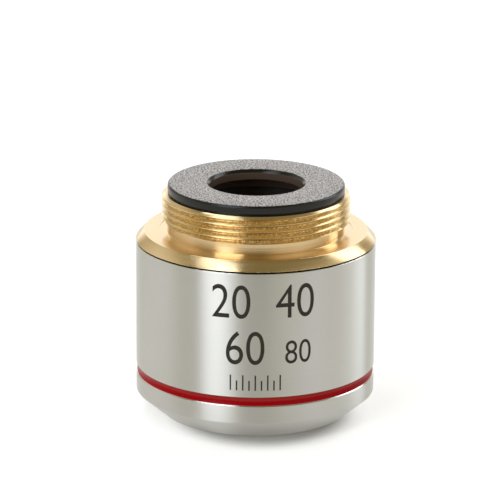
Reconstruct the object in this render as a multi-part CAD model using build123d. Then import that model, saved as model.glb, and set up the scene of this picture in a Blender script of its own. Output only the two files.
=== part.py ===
from build123d import *
import math
import os

# A low-power microscope objective with a long working distance. Sizes are in millimetres.
# It stands on its front rim at z = 0, and +Z is the optical axis, towards the mounting thread.

# Outer sleeve: a plated tube with a conical nose and a painted groove.
body_diameter = 25.8
sleeve_wall = 1.2
nose_height = 2.3
nose_rim_diameter = 20.4
front_wall = 1.4
front_opening_diameter = 16.0
opening_bevel = 0.3
guide_land_height = 1.6
groove_bottom = 4.27
groove_width = 0.94
groove_depth = 0.36
groove_lip_bevel = 0.06
paint_below_flush = 0.03
paint_hollow = 0.12
seam_gap = 0.1
seam_depth = 0.35
sleeve_edge_bevel = 0.12

# Brass mount: shoulder flange, neck and the standard thread of 0.8 inch, 36 turns to the inch.
shoulder_height = 20.0
flange_thickness = 1.0
flange_land = 0.05
flange_bevel_width = 0.9
shoulder_relief_depth = 0.05
shoulder_relief_margin = 0.25
thread_diameter = 20.32
thread_reach = 4.15
thread_lead_in = 0.35
neck_length = 1.05
neck_depth = 0.58
neck_wall = 1.53
skirt_length = 6.5
skirt_wall = 1.5
seat_below_shoulder = 1.7
least_seat_width = 1.6

# Rear stop: the black ring that closes the top of the mount and limits the light.
stop_inset = 0.66
stop_thickness = 0.9
stop_edge_bevel = 0.2
stop_collar_height = 0.15
stop_collar_inset = 0.3
stop_thread_wall = 1.56
stop_spigot_length = 1.5
stop_hole_diameter = 10.0
stop_hole_bevel = 0.35
stop_hole_land = 1.1
stop_chamber_margin = 0.6

# Lens barrel inside the mount, with its shim and lock ring.
barrel_front_gap = 0.15
barrel_wall = 1.5
barrel_tube_wall = 1.3
barrel_top_margin = 0.1
web_below_step = 0.5
web_thickness = 0.6
web_margin = 0.3
shim_thickness = 0.3
shim_inset = 0.25
lock_ring_height = 1.3
lock_ring_inset = 0.3
lock_ring_notches = 4
lock_ring_notch_width = 1.4

# Rings that hold the lens cells, each with two spanner slots.
front_ring_recess = 0.2
front_ring_height = 1.0
rear_ring_height = 0.8
rear_ring_width = 1.4
slot_width = 1.0
slot_depth = 0.5

# Lens cells and spacers. Each spacer or ring reaches over the rim of the lens that it traps.
cell_lip = 0.6
lens_play = 0.05
retainer_overlap = 0.45
front_cell_wall = 1.3
front_seat_width = 0.7
middle_cell_wall = 2.2
middle_seat_width = 0.7
field_cell_wall = 2.4
field_seat_width = 0.6
rear_cell_wall = 0.95
rear_seat_width = 0.6
second_spacer_height = 0.8
aperture_stop_thickness = 0.3
aperture_overlap = 0.9

# Lenses: radii of curvature are signed, and positive where the centre lies towards +Z.
front_lens_thickness = 1.8
front_lens_lower_radius = -22.0
front_lens_upper_radius = -30.0
middle_flint_thickness = 1.0
middle_crown_thickness = 3.0
middle_lower_radius = 60.0
middle_cement_radius = 18.0
middle_upper_radius = -60.0
field_lens_thickness = 1.8
field_lens_lower_radius = 40.0
field_lens_upper_radius = 29.6
rear_crown_thickness = 2.6
rear_flint_thickness = 0.7
rear_lower_radius = 14.15
rear_cement_radius = -30.0

# Radial clearances.
screw_clearance = 0.04
lens_clearance = 0.03
cement_gap = 0.02

# Nested radii, from the outside in.
body_radius = body_diameter / 2
sleeve_bore = body_radius - sleeve_wall
skirt_radius = sleeve_bore - screw_clearance
barrel_bore_in_mount = skirt_radius - skirt_wall
barrel_radius = barrel_bore_in_mount - screw_clearance
front_bore = barrel_radius - barrel_wall
stack_radius = front_bore - screw_clearance
thread_radius = thread_diameter / 2
neck_radius = thread_radius - neck_depth
tube_bore_in_mount = min(neck_radius - neck_wall, barrel_bore_in_mount - least_seat_width)
tube_radius = tube_bore_in_mount - screw_clearance
rear_bore = tube_radius - barrel_tube_wall
rear_stack_radius = rear_bore - screw_clearance
stop_radius = thread_radius - stop_inset
stop_spigot_radius = thread_radius - stop_thread_wall
stop_chamber_radius = rear_bore + stop_chamber_margin

# Heights along the axis.
seam_height = shoulder_height - flange_thickness
skirt_bottom = seam_height - skirt_length
mount_top = shoulder_height + thread_reach
stop_bottom = mount_top + stop_collar_height
stop_top = stop_bottom + stop_thickness
spigot_bottom = mount_top - stop_spigot_length
seat_height = shoulder_height - seat_below_shoulder
barrel_front = front_wall + barrel_front_gap
barrel_step = seat_height - shim_thickness
web_top = barrel_step - web_below_step
web_bottom = web_top - web_thickness
front_ring_bottom = barrel_front + front_ring_recess
stack_bottom = front_ring_bottom + front_ring_height


def turned(*outline):
    """A solid turned about the optical axis from a closed outline of (radius, height) points."""
    profile = Polyline(*[(r, 0, z) for r, z in outline], close=True)
    return revolve(make_face(profile), axis=Axis.Z)


def ring(outer, inner, bottom, top):
    """A plain ring between two radii and two heights."""
    return turned((inner, bottom), (outer, bottom), (outer, top), (inner, top))


def rise(curvature, radius):
    """How far a sphere of signed curvature radius rises above its vertex at a distance from the axis."""
    return math.copysign(abs(curvature) - math.sqrt(curvature**2 - radius**2), curvature)


def lens(radius, lower, upper):
    """A lens between two surfaces, each given as (vertex height, curvature radius, polished radius)."""

    def surface(vertex, curvature, polished):
        middle = (polished / 2, 0, vertex + rise(curvature, polished / 2))
        return ThreePointArc((0, 0, vertex), middle, (polished, 0, vertex + rise(curvature, polished)))

    lower_arc = surface(*lower)
    upper_arc = surface(*upper)
    corners = [lower_arc @ 1, Vector(radius, 0, (lower_arc @ 1).Z)]
    corners += [Vector(radius, 0, (upper_arc @ 1).Z), upper_arc @ 1]
    path = [a for a, b in zip(corners, corners[1:]) if (b - a).length > 1e-6] + [corners[-1]]
    edges = [lower_arc, Polyline(*path), upper_arc, Line(upper_arc @ 0, lower_arc @ 0)]
    return revolve(make_face(Wire([e for part in edges for e in part.edges()])), axis=Axis.Z)


def slotted(piece, outer, face_height, count, width, depth, inwards):
    """The piece with spanner slots cut across one end face; inwards is +1 or -1 along Z."""
    for k in range(count):
        slot = Box(2 * outer, width, 2 * depth, align=(Align.MIN, Align.CENTER, Align.CENTER))
        piece -= Rot(0, 0, 360 * k / count) * Pos(0, 0, face_height) * slot
    return piece


def outer_sleeve():
    """Plated sleeve: conical nose, guide land for the barrel, paint groove and a fine gap at the flange."""
    groove_top = groove_bottom + groove_width
    groove_floor = body_radius - groove_depth
    land_top = front_wall + guide_land_height
    land_radius = barrel_radius + screw_clearance
    opening = front_opening_diameter / 2
    gap_floor = seam_height - seam_gap
    return turned(
        (opening, opening_bevel),
        (opening + opening_bevel, 0),
        (nose_rim_diameter / 2, 0),
        (body_radius, nose_height),
        (body_radius, groove_bottom - groove_lip_bevel),
        (body_radius - groove_lip_bevel, groove_bottom),
        (groove_floor, groove_bottom),
        (groove_floor, groove_top),
        (body_radius - groove_lip_bevel, groove_top),
        (body_radius, groove_top + groove_lip_bevel),
        (body_radius, gap_floor - sleeve_edge_bevel),
        (body_radius - sleeve_edge_bevel, gap_floor),
        (body_radius - seam_depth, gap_floor),
        (body_radius - seam_depth, seam_height),
        (sleeve_bore, seam_height),
        (sleeve_bore, land_top),
        (land_radius, land_top),
        (land_radius, front_wall),
        (opening, front_wall),
    )


def magnification_band():
    """Red enamel that fills the groove, sunk a little in the middle."""
    low, high = groove_bottom, groove_bottom + groove_width
    floor = body_radius - groove_depth
    edge = body_radius - groove_lip_bevel - paint_below_flush
    sunk = ThreePointArc((edge, 0, low), (edge - paint_hollow, 0, (low + high) / 2), (edge, 0, high))
    back = Polyline((edge, 0, high), (floor, 0, high), (floor, 0, low), (edge, 0, low))
    return revolve(make_face(Wire([*sunk.edges(), *back.edges()])), axis=Axis.Z)


def thread_mount():
    """Brass mount: skirt in the sleeve, bevelled flange with a relieved shoulder, neck and screw section."""
    neck_top = shoulder_height + neck_length
    relief_radius = thread_radius + shoulder_relief_margin
    relief_floor = shoulder_height - shoulder_relief_depth
    return turned(
        (barrel_bore_in_mount, skirt_bottom),
        (skirt_radius, skirt_bottom),
        (skirt_radius, seam_height),
        (body_radius, seam_height),
        (body_radius, seam_height + flange_land),
        (body_radius - flange_bevel_width, shoulder_height),
        (relief_radius, shoulder_height),
        (relief_radius, relief_floor),
        (neck_radius, relief_floor),
        (neck_radius, neck_top),
        (thread_radius, neck_top + neck_depth / 2),
        (thread_radius, mount_top - thread_lead_in),
        (thread_radius - thread_lead_in, mount_top),
        (stop_spigot_radius + screw_clearance, mount_top),
        (stop_spigot_radius + screw_clearance, spigot_bottom - screw_clearance),
        (tube_bore_in_mount, spigot_bottom - screw_clearance),
        (tube_bore_in_mount, seat_height),
        (barrel_bore_in_mount, seat_height),
    )


def rear_stop():
    """Black stop: a bevelled flange on a recessed collar, with a spigot screwed into the mount."""
    collar = stop_radius - stop_collar_inset
    hole = stop_hole_diameter / 2
    chamber_top = stop_top - stop_hole_land
    return turned(
        (hole, chamber_top),
        (hole, stop_top - stop_hole_bevel),
        (hole + stop_hole_bevel, stop_top),
        (stop_radius - stop_edge_bevel, stop_top),
        (stop_radius, stop_top - stop_edge_bevel),
        (stop_radius, stop_bottom),
        (collar, stop_bottom),
        (collar, mount_top),
        (stop_spigot_radius, mount_top),
        (stop_spigot_radius, spigot_bottom),
        (stop_chamber_radius, spigot_bottom),
        (stop_chamber_radius, chamber_top),
    )


def lens_barrel():
    """Inner barrel: a wide bore for the front stack, a web, and a narrow tube for the rear group."""
    return turned(
        (front_bore, barrel_front),
        (barrel_radius, barrel_front),
        (barrel_radius, barrel_step),
        (tube_radius, barrel_step),
        (tube_radius, rear_ring_top + barrel_top_margin),
        (rear_bore, rear_ring_top + barrel_top_margin),
        (rear_bore, web_top),
        (rear_seat + web_margin, web_top),
        (rear_seat + web_margin, web_bottom),
        (front_bore, web_bottom),
    )


def parfocal_shim():
    """Thin washer between the barrel's step and the mount's seat, which sets the focus height."""
    return ring(barrel_radius - shim_inset, tube_bore_in_mount, barrel_step, seat_height)


def barrel_lock_ring():
    """Notched ring on the barrel's thread, jammed against the mount's skirt."""
    outer = skirt_radius - lock_ring_inset
    bottom = skirt_bottom - lock_ring_height
    plain = ring(outer, barrel_bore_in_mount, bottom, skirt_bottom)
    return slotted(plain, outer, bottom, lock_ring_notches, lock_ring_notch_width, slot_depth, 1)


def front_retaining_ring():
    """Slotted ring in the barrel's mouth, holding the front stack."""
    inner = front_lens_radius - retainer_overlap
    plain = ring(stack_radius, inner, front_ring_bottom, stack_bottom)
    return slotted(plain, stack_radius, front_ring_bottom, 2, slot_width, slot_depth, 1)


def cell_above(bottom, outer, pocket, seat_radius, seat_height_in_cell):
    """A cell whose lens goes in from below and seats against a lip at the top."""
    top = seat_height_in_cell + cell_lip
    return turned(
        (pocket, bottom),
        (outer, bottom),
        (outer, top),
        (seat_radius, top),
        (seat_radius, seat_height_in_cell),
        (pocket, seat_height_in_cell),
    )


# Front group: one meniscus, hollow side towards the specimen.
front_pocket = stack_radius - front_cell_wall
front_lens_radius = front_pocket - lens_clearance
front_seat = front_lens_radius - front_seat_width
front_polished = front_seat
front_lower_vertex = stack_bottom + lens_play - rise(front_lens_lower_radius, front_polished)
front_upper_vertex = front_lower_vertex + front_lens_thickness
front_seat_height = front_upper_vertex + rise(front_lens_upper_radius, front_seat)
front_cell_top = front_seat_height + cell_lip

# Field lens at the top of the front stack, seated against the web: a thick meniscus.
field_pocket = stack_radius - field_cell_wall
field_lens_radius = field_pocket - lens_clearance
field_seat = field_lens_radius - field_seat_width
field_cell_top = web_bottom
field_seat_height = field_cell_top - cell_lip
field_upper_vertex = field_seat_height - rise(field_lens_upper_radius, field_seat)
field_lower_vertex = field_upper_vertex - field_lens_thickness
field_retainer = field_lens_radius - retainer_overlap
field_cell_bottom = field_lower_vertex + rise(field_lens_lower_radius, field_retainer) - lens_play

# Middle doublet below it, with the second spacer between the two cells.
middle_pocket = stack_radius - middle_cell_wall
middle_lens_radius = middle_pocket - lens_clearance
middle_seat = middle_lens_radius - middle_seat_width
middle_cell_top = field_cell_bottom - second_spacer_height
middle_seat_height = middle_cell_top - cell_lip
middle_upper_vertex = middle_seat_height - rise(middle_upper_radius, middle_seat)
middle_cement_vertex = middle_upper_vertex - middle_crown_thickness
middle_lower_vertex = middle_cement_vertex - middle_flint_thickness
middle_retainer = middle_lens_radius - retainer_overlap
middle_cell_bottom = middle_lower_vertex + rise(middle_lower_radius, middle_retainer) - lens_play

# Rear doublet, put in from above.
rear_pocket = rear_stack_radius - rear_cell_wall
rear_lens_radius = rear_pocket - lens_clearance
rear_seat = rear_lens_radius - rear_seat_width
rear_seat_height = web_top + cell_lip
rear_lower_vertex = rear_seat_height - rise(rear_lower_radius, rear_seat)
rear_cement_vertex = rear_lower_vertex + rear_crown_thickness
rear_flat_height = rear_cement_vertex + rear_flint_thickness
rear_cell_top = rear_flat_height + lens_play
aperture_top = rear_cell_top + aperture_stop_thickness
rear_ring_top = aperture_top + rear_ring_height


def front_cell():
    return cell_above(stack_bottom, stack_radius, front_pocket, front_seat, front_seat_height)


def front_lens():
    lower = (front_lower_vertex, front_lens_lower_radius, front_polished)
    upper = (front_upper_vertex, front_lens_upper_radius, front_lens_radius)
    return lens(front_lens_radius, lower, upper)


def first_spacer():
    """Spacer that takes up the height left between the front and middle cells, under the doublet's rim."""
    return ring(stack_radius, middle_retainer, front_cell_top, middle_cell_bottom)


def middle_cell():
    return cell_above(middle_cell_bottom, stack_radius, middle_pocket, middle_seat, middle_seat_height)


def middle_flint():
    lower = (middle_lower_vertex, middle_lower_radius, middle_lens_radius)
    upper = (middle_cement_vertex - cement_gap, middle_cement_radius, middle_lens_radius)
    return lens(middle_lens_radius, lower, upper)


def middle_crown():
    lower = (middle_cement_vertex, middle_cement_radius, middle_lens_radius)
    upper = (middle_upper_vertex, middle_upper_radius, middle_lens_radius)
    return lens(middle_lens_radius, lower, upper)


def second_spacer():
    """Spacer between the middle and field cells, under the field lens's rim."""
    return ring(stack_radius, field_retainer, middle_cell_top, field_cell_bottom)


def field_cell():
    return cell_above(field_cell_bottom, stack_radius, field_pocket, field_seat, field_seat_height)


def field_lens():
    lower = (field_lower_vertex, field_lens_lower_radius, field_lens_radius)
    upper = (field_upper_vertex, field_lens_upper_radius, field_seat)
    return lens(field_lens_radius, lower, upper)


def rear_cell():
    """Cell of the rear doublet, with its lip at the bottom, on the barrel's web."""
    return turned(
        (rear_seat, web_top),
        (rear_stack_radius, web_top),
        (rear_stack_radius, rear_cell_top),
        (rear_pocket, rear_cell_top),
        (rear_pocket, rear_seat_height),
        (rear_seat, rear_seat_height),
    )


def rear_crown():
    lower = (rear_lower_vertex, rear_lower_radius, rear_lens_radius)
    upper = (rear_cement_vertex, rear_cement_radius, rear_lens_radius)
    return lens(rear_lens_radius, lower, upper)


def rear_flint():
    """Plano-concave flint, flat towards the thread."""
    vertex = rear_cement_vertex + cement_gap
    reach = rear_lens_radius
    edge = vertex + rise(rear_cement_radius, reach)
    middle = (reach / 2, 0, vertex + rise(rear_cement_radius, reach / 2))
    hollow = ThreePointArc((0, 0, vertex), middle, (reach, 0, edge))
    flat = Polyline((reach, 0, edge), (reach, 0, rear_flat_height), (0, 0, rear_flat_height), (0, 0, vertex))
    return revolve(make_face(Wire([*hollow.edges(), *flat.edges()])), axis=Axis.Z)


def aperture_stop():
    return ring(rear_stack_radius, rear_lens_radius - aperture_overlap, rear_cell_top, aperture_top)


def rear_retaining_ring():
    """Slotted ring that holds the rear group down from above."""
    plain = ring(rear_stack_radius, rear_stack_radius - rear_ring_width, aperture_top, rear_ring_top)
    return slotted(plain, rear_stack_radius, rear_ring_top, 2, slot_width, slot_depth, -1)


PIECES = [
    outer_sleeve,
    magnification_band,
    thread_mount,
    rear_stop,
    lens_barrel,
    parfocal_shim,
    barrel_lock_ring,
    front_retaining_ring,
    front_cell,
    front_lens,
    first_spacer,
    middle_cell,
    middle_flint,
    middle_crown,
    second_spacer,
    field_cell,
    field_lens,
    rear_cell,
    rear_crown,
    rear_flint,
    aperture_stop,
    rear_retaining_ring,
]

os.makedirs("parts", exist_ok=True)
for piece in PIECES:
    export_step(piece(), f"parts/{piece.__name__}.step")
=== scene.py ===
# %% [markdown]
# # A microscope objective
# The real thing is a stack of turned parts: a plated sleeve, a brass mount with a fine thread, a black
# stop on top and lenses inside. The solids come in already packed, at their real size, as a fixed frame.
# This lesson dresses that frame: it rebuilds the visible parts on finer meshes, marks them, gives every
# part its finish and puts the whole on a pale table in soft light.

# %% Load the frame
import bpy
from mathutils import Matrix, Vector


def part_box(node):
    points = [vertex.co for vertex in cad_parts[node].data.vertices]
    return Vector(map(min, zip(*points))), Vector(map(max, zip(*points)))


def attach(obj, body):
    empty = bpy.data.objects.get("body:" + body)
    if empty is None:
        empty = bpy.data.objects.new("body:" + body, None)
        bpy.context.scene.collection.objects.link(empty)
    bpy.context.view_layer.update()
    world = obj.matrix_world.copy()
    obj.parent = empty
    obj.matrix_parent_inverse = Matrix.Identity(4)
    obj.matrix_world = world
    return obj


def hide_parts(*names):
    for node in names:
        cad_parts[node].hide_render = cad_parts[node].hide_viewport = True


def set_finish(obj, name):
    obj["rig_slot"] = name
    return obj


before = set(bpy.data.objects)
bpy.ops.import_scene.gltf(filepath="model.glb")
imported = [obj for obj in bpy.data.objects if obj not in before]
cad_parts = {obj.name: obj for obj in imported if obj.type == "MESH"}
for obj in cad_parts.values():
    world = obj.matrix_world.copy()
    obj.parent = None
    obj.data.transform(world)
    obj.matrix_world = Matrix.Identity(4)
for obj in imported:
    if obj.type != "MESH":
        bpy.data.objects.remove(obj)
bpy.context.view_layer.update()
print("parts in the frame:", len(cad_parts))

# %% [markdown]
# ## Units and readings
# Blender works in metres here, and a lens turner thinks in millimetres, so every length below is written
# in millimetres and goes through MM. Heights and radii that the frame already has are read from its boxes,
# because a copied number could drift away from the part that it describes.

# %% Read sizes from the frame
import math

import bmesh
import bpy
from mathutils import Matrix, Vector

MM = 0.001


def reach(node):
    """Radius, lowest and highest point of a turned part of the frame, in millimetres."""
    low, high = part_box(node)
    return max(high.x, high.y) / MM, low.z / MM, high.z / MM


sleeve_radius, front_rim, seam_height = reach("outer_sleeve")
mount_radius, skirt_bottom, mount_top = reach("thread_mount")
stop_radius, spigot_bottom, stop_top = reach("rear_stop")
_, band_bottom, band_top = reach("magnification_band")
print(f"sleeve {2 * sleeve_radius:.2f} across, {stop_top:.2f} tall, seam at {seam_height:.2f}")

# %% [markdown]
# ## A lathe
# Nearly every part was turned, so one helper does what the lathe did. It takes half of the section as
# points of radius and height, joins them with edges and spins them once around the optical axis. A ring of
# edges that needs a broken or rounded corner is found again by its radius and height and bevelled, which
# matters more than it seems: real edges are never perfectly sharp, and the thin line of light on a corner
# is what tells the eye that it looks at metal.

# %% Turn a section into a mesh
TURNS = 256
TOUCH = 0.0005


def add_section(bm, outline, closed=True):
    """Vertices and edges of half a section, from points of radius and height in millimetres."""
    corners = [bm.verts.new((r * MM, 0, z * MM)) for r, z in outline]
    partners = corners[1:] + corners[:1] if closed else corners[1:]
    return corners + [bm.edges.new(pair) for pair in zip(corners, partners)]


def turn(bm, section):
    """Spins a section once around the optical axis and closes the seam and the poles."""
    bmesh.ops.spin(
        bm, geom=section, cent=(0, 0, 0), axis=(0, 0, 1), angle=2 * math.pi, steps=TURNS, use_merge=True
    )
    bmesh.ops.remove_doubles(bm, verts=bm.verts, dist=TOUCH * MM)


def ring_edges(bm, radius, height):
    """The ring of edges at one radius and height."""

    def on_ring(v):
        here = math.hypot(v.co.x, v.co.y) / MM
        return abs(here - radius) < TOUCH and abs(v.co.z / MM - height) < TOUCH

    return [e for e in bm.edges if on_ring(e.verts[0]) and on_ring(e.verts[1])]


def break_edges(bm, rings, width, segments=3):
    """Rounds the corners at the given radii and heights."""
    found = [e for ring in rings for e in ring_edges(bm, *ring)]
    bmesh.ops.bevel(
        bm,
        geom=found,
        offset=width * MM,
        offset_type="OFFSET",
        affect="EDGES",
        segments=segments,
        profile=0.5,
        material=-1,
    )


# %% [markdown]
# ## From mesh to piece
# A finished mesh becomes an object that stays at the origin, so that patterns on Object coordinates lie
# still. It is shaded smooth, and only the real corners are marked sharp by their angle.

# %% Finish a piece
SHARP_ANGLE = math.radians(28)


def finish_piece(name, bm, slot, *nodes):
    """Makes the object, shades it, seats it on the frame's body and lets it stand for its solids."""
    bmesh.ops.recalc_face_normals(bm, faces=bm.faces)
    mesh = bpy.data.meshes.new(name)
    bm.to_mesh(mesh)
    bm.free()
    mesh.shade_smooth()
    mesh.set_sharp_from_angle(angle=SHARP_ANGLE)
    piece = bpy.data.objects.new(name, mesh)
    bpy.context.scene.collection.objects.link(piece)
    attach(piece, "root")
    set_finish(piece, slot)
    if nodes:
        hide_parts(*nodes)
    triangles = sum(len(p.vertices) - 2 for p in mesh.polygons)
    print(f"{name}: {triangles} triangles")
    return piece


# %% [markdown]
# ## The sleeve
# The sleeve is a tube of plated brass with a conical nose. A groove near the nose holds the coloured
# band, and a fine gap at the top keeps it clear of the brass flange. The outline follows the solid's, and
# the corners are broken by a few hundredths of a millimetre, as a turner does with a file.

# %% Turn the sleeve
SLEEVE_WALL = 1.2
FRONT_WALL = 1.4
FRONT_OPENING_RADIUS = 8.0
OPENING_BEVEL = 0.3
NOSE_RIM_RADIUS = 10.2
NOSE_HEIGHT = 2.3
GROOVE_DEPTH = 0.36
UPPER_LIP = 0.05
LOWER_LIP = 0.11
SEAM_GAP = 0.1
SEAM_DEPTH = 0.35
TOP_BEVEL = 0.12
LAND_TOP = 3.0
LAND_RADIUS = 10.16
RIM_BREAK = 0.06
NOSE_BREAK = 0.05
TOP_BREAK = 0.02


def make_sleeve():
    bm = bmesh.new()
    groove_floor = sleeve_radius - GROOVE_DEPTH
    gap_floor = seam_height - SEAM_GAP
    outline = [
        (FRONT_OPENING_RADIUS, OPENING_BEVEL),
        (FRONT_OPENING_RADIUS + OPENING_BEVEL, front_rim),
        (NOSE_RIM_RADIUS, front_rim),
        (sleeve_radius, NOSE_HEIGHT),
        (sleeve_radius, band_bottom - LOWER_LIP),
        (sleeve_radius - LOWER_LIP, band_bottom),
        (groove_floor, band_bottom),
        (groove_floor, band_top),
        (sleeve_radius - UPPER_LIP, band_top),
        (sleeve_radius, band_top + UPPER_LIP),
        (sleeve_radius, gap_floor - TOP_BEVEL),
        (sleeve_radius - TOP_BEVEL, gap_floor),
        (sleeve_radius - SEAM_DEPTH, gap_floor),
        (sleeve_radius - SEAM_DEPTH, seam_height),
        (sleeve_radius - SLEEVE_WALL, seam_height),
        (sleeve_radius - SLEEVE_WALL, LAND_TOP),
        (LAND_RADIUS, LAND_TOP),
        (LAND_RADIUS, FRONT_WALL),
        (FRONT_OPENING_RADIUS, FRONT_WALL),
    ]
    turn(bm, add_section(bm, outline))
    top_bevel = [(sleeve_radius, gap_floor - TOP_BEVEL), (sleeve_radius - TOP_BEVEL, gap_floor)]
    break_edges(bm, [(NOSE_RIM_RADIUS, front_rim)], RIM_BREAK)
    break_edges(bm, [(sleeve_radius, NOSE_HEIGHT)], NOSE_BREAK)
    break_edges(bm, top_bevel, TOP_BREAK)
    return finish_piece("sleeve_shell", bm, "satin_plate", "outer_sleeve")


sleeve = make_sleeve()

# %% [markdown]
# ## The coloured band
# The band is enamel that was wiped into the groove. It shrank as it dried, so its face is a shallow
# hollow: the upper half leans down and the lower half leans up, and they catch different light. An arc
# is spun out of one vertex around its centre, and that arc is then turned like any other section.

# %% Turn the band
ENAMEL_BELOW_FLUSH = 0.12
ENAMEL_HOLLOW = 0.12
ENAMEL_STEPS = 14


def make_band():
    bm = bmesh.new()
    half = (band_top - band_bottom) / 2
    middle = (band_top + band_bottom) / 2
    edge = sleeve_radius - ENAMEL_BELOW_FLUSH
    floor = sleeve_radius - GROOVE_DEPTH
    curve = (half**2 + ENAMEL_HOLLOW**2) / (2 * ENAMEL_HOLLOW)
    centre = Vector((edge - ENAMEL_HOLLOW + curve, 0, middle)) * MM
    opening = 2 * math.asin(half / curve)
    start = bm.verts.new(Vector((edge, 0, band_bottom)) * MM)
    bmesh.ops.spin(bm, geom=[start], cent=centre, axis=(0, 1, 0), angle=opening, steps=ENAMEL_STEPS)
    ends = sorted((v for v in bm.verts if len(v.link_edges) == 1), key=lambda v: v.co.z)
    back = [bm.verts.new((floor * MM, 0, z * MM)) for z in (band_bottom, band_top)]
    for pair in ((ends[0], back[0]), (back[0], back[1]), (back[1], ends[-1])):
        bm.edges.new(pair)
    turn(bm, [*bm.verts, *bm.edges])
    return finish_piece("enamel_band", bm, "red_enamel", "magnification_band")


band = make_band()

# %% [markdown]
# ## The brass mount
# Below the thread the mount is plain turned brass: a flange whose corner is bevelled, a shallow relief
# around the neck, and a long skirt that disappears into the sleeve. Its section is left open where the
# thread belongs, and the thread is made as a helix of its own and joined to it by two flat rings.
#
# The thread is the standard one of 36 turns to the inch. Rings stacked on each other would be simpler,
# but a real thread climbs, and its crests are seen to slope and to run out at the ends. So a short wall
# with the thread's teeth is spun through one turn while it rises by one pitch: its end then meets its
# beginning one tooth higher, and merging the doubles closes it.

# %% Sizes of the mount
THREAD_PITCH = 25.4 / 36
THREAD_RADIUS = 10.16
THREAD_DEPTH = 0.44
CREST_FLAT = 0.12
THREAD_LEAD_IN = 0.35
FRONT_CREST_HEIGHT = 23.21
NECK_RADIUS = 9.58
NECK_LENGTH = 1.05
SHOULDER_HEIGHT = 20.0
FLANGE_LAND = 0.05
FLANGE_BEVEL = 0.9
RELIEF_RADIUS = 10.41
RELIEF_DEPTH = 0.05
SKIRT_WALL = 1.5
SKIRT_RADIUS = 11.66
SEAT_HEIGHT = 18.3
TUBE_BORE = 8.05
SPIGOT_BORE = 8.64
SPIGOT_FLOOR = 22.61
NECK_STEP = 0.03
TOP_RING_RADIUS = 9.56
FLANGE_BREAK = 0.04
LAND_BREAK = 0.02
NECK_BREAK = 0.04
neck_top = SHOULDER_HEIGHT + NECK_LENGTH
print(f"thread: {2 * THREAD_RADIUS:.2f} mm across, {THREAD_PITCH:.4f} mm from crest to crest")

# %% Cut the helix
TOOTH_CUTS = 3
TOOTH_ROUNDING = 4
SPARE_TEETH = 2
RUN_OUT_SLOPE = 2


def add_thread(bm):
    """The threaded wall from the neck to the top, with its crests turned down at both ends."""
    root = THREAD_RADIUS - THREAD_DEPTH
    flank = THREAD_PITCH / 2 - CREST_FLAT
    first_crest = FRONT_CREST_HEIGHT + THREAD_PITCH / 4
    below = math.ceil((first_crest - neck_top) / THREAD_PITCH) + SPARE_TEETH
    above = math.ceil((mount_top - first_crest) / THREAD_PITCH) + SPARE_TEETH
    teeth = []
    for k in range(-below, above):
        crest = first_crest + k * THREAD_PITCH
        teeth += [
            (THREAD_RADIUS, crest - CREST_FLAT / 2),
            (THREAD_RADIUS, crest + CREST_FLAT / 2),
            (root, crest + CREST_FLAT / 2 + flank),
            (root, crest + CREST_FLAT * 3 / 2 + flank),
        ]
    wall = add_section(bm, teeth, closed=False)
    edges = [e for e in wall if isinstance(e, bmesh.types.BMEdge)]
    bmesh.ops.subdivide_edges(bm, edges=edges, cuts=TOOTH_CUTS)
    for _ in range(TOOTH_ROUNDING):
        bmesh.ops.smooth_vert(bm, verts=bm.verts, factor=0.5, use_axis_x=True)
    bmesh.ops.spin(
        bm,
        geom=[*bm.verts, *bm.edges],
        cent=(0, 0, 0),
        axis=(0, 0, 1),
        dvec=(0, 0, THREAD_PITCH * MM / TURNS),
        angle=2 * math.pi,
        steps=TURNS,
    )
    bmesh.ops.remove_doubles(bm, verts=bm.verts, dist=TOUCH * MM)
    for height, upwards in ((neck_top, -1), (mount_top, 1)):
        bmesh.ops.bisect_plane(
            bm,
            geom=[*bm.verts, *bm.edges, *bm.faces],
            plane_co=(0, 0, height * MM),
            plane_no=(0, 0, upwards),
            clear_outer=True,
        )
    for v in bm.verts:
        height = v.co.z / MM
        lead_in = THREAD_RADIUS - THREAD_LEAD_IN + (mount_top - height)
        run_out = NECK_RADIUS + NECK_STEP + RUN_OUT_SLOPE * (height - neck_top)
        limit = min(lead_in, run_out) * MM
        here = math.hypot(v.co.x, v.co.y)
        if here > limit:
            v.co.x *= limit / here
            v.co.y *= limit / here


# %% Turn the mount and join the thread to it
def close_flat_ring(bm, height):
    """Fills the flat ring between the two open rims at one height."""
    rims = [e for e in bm.edges if e.is_boundary]
    rims = [e for e in rims if all(abs(v.co.z / MM - height) < TOUCH for v in e.verts)]
    bmesh.ops.triangle_fill(bm, use_beauty=True, edges=rims, normal=(0, 0, 1))


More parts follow.
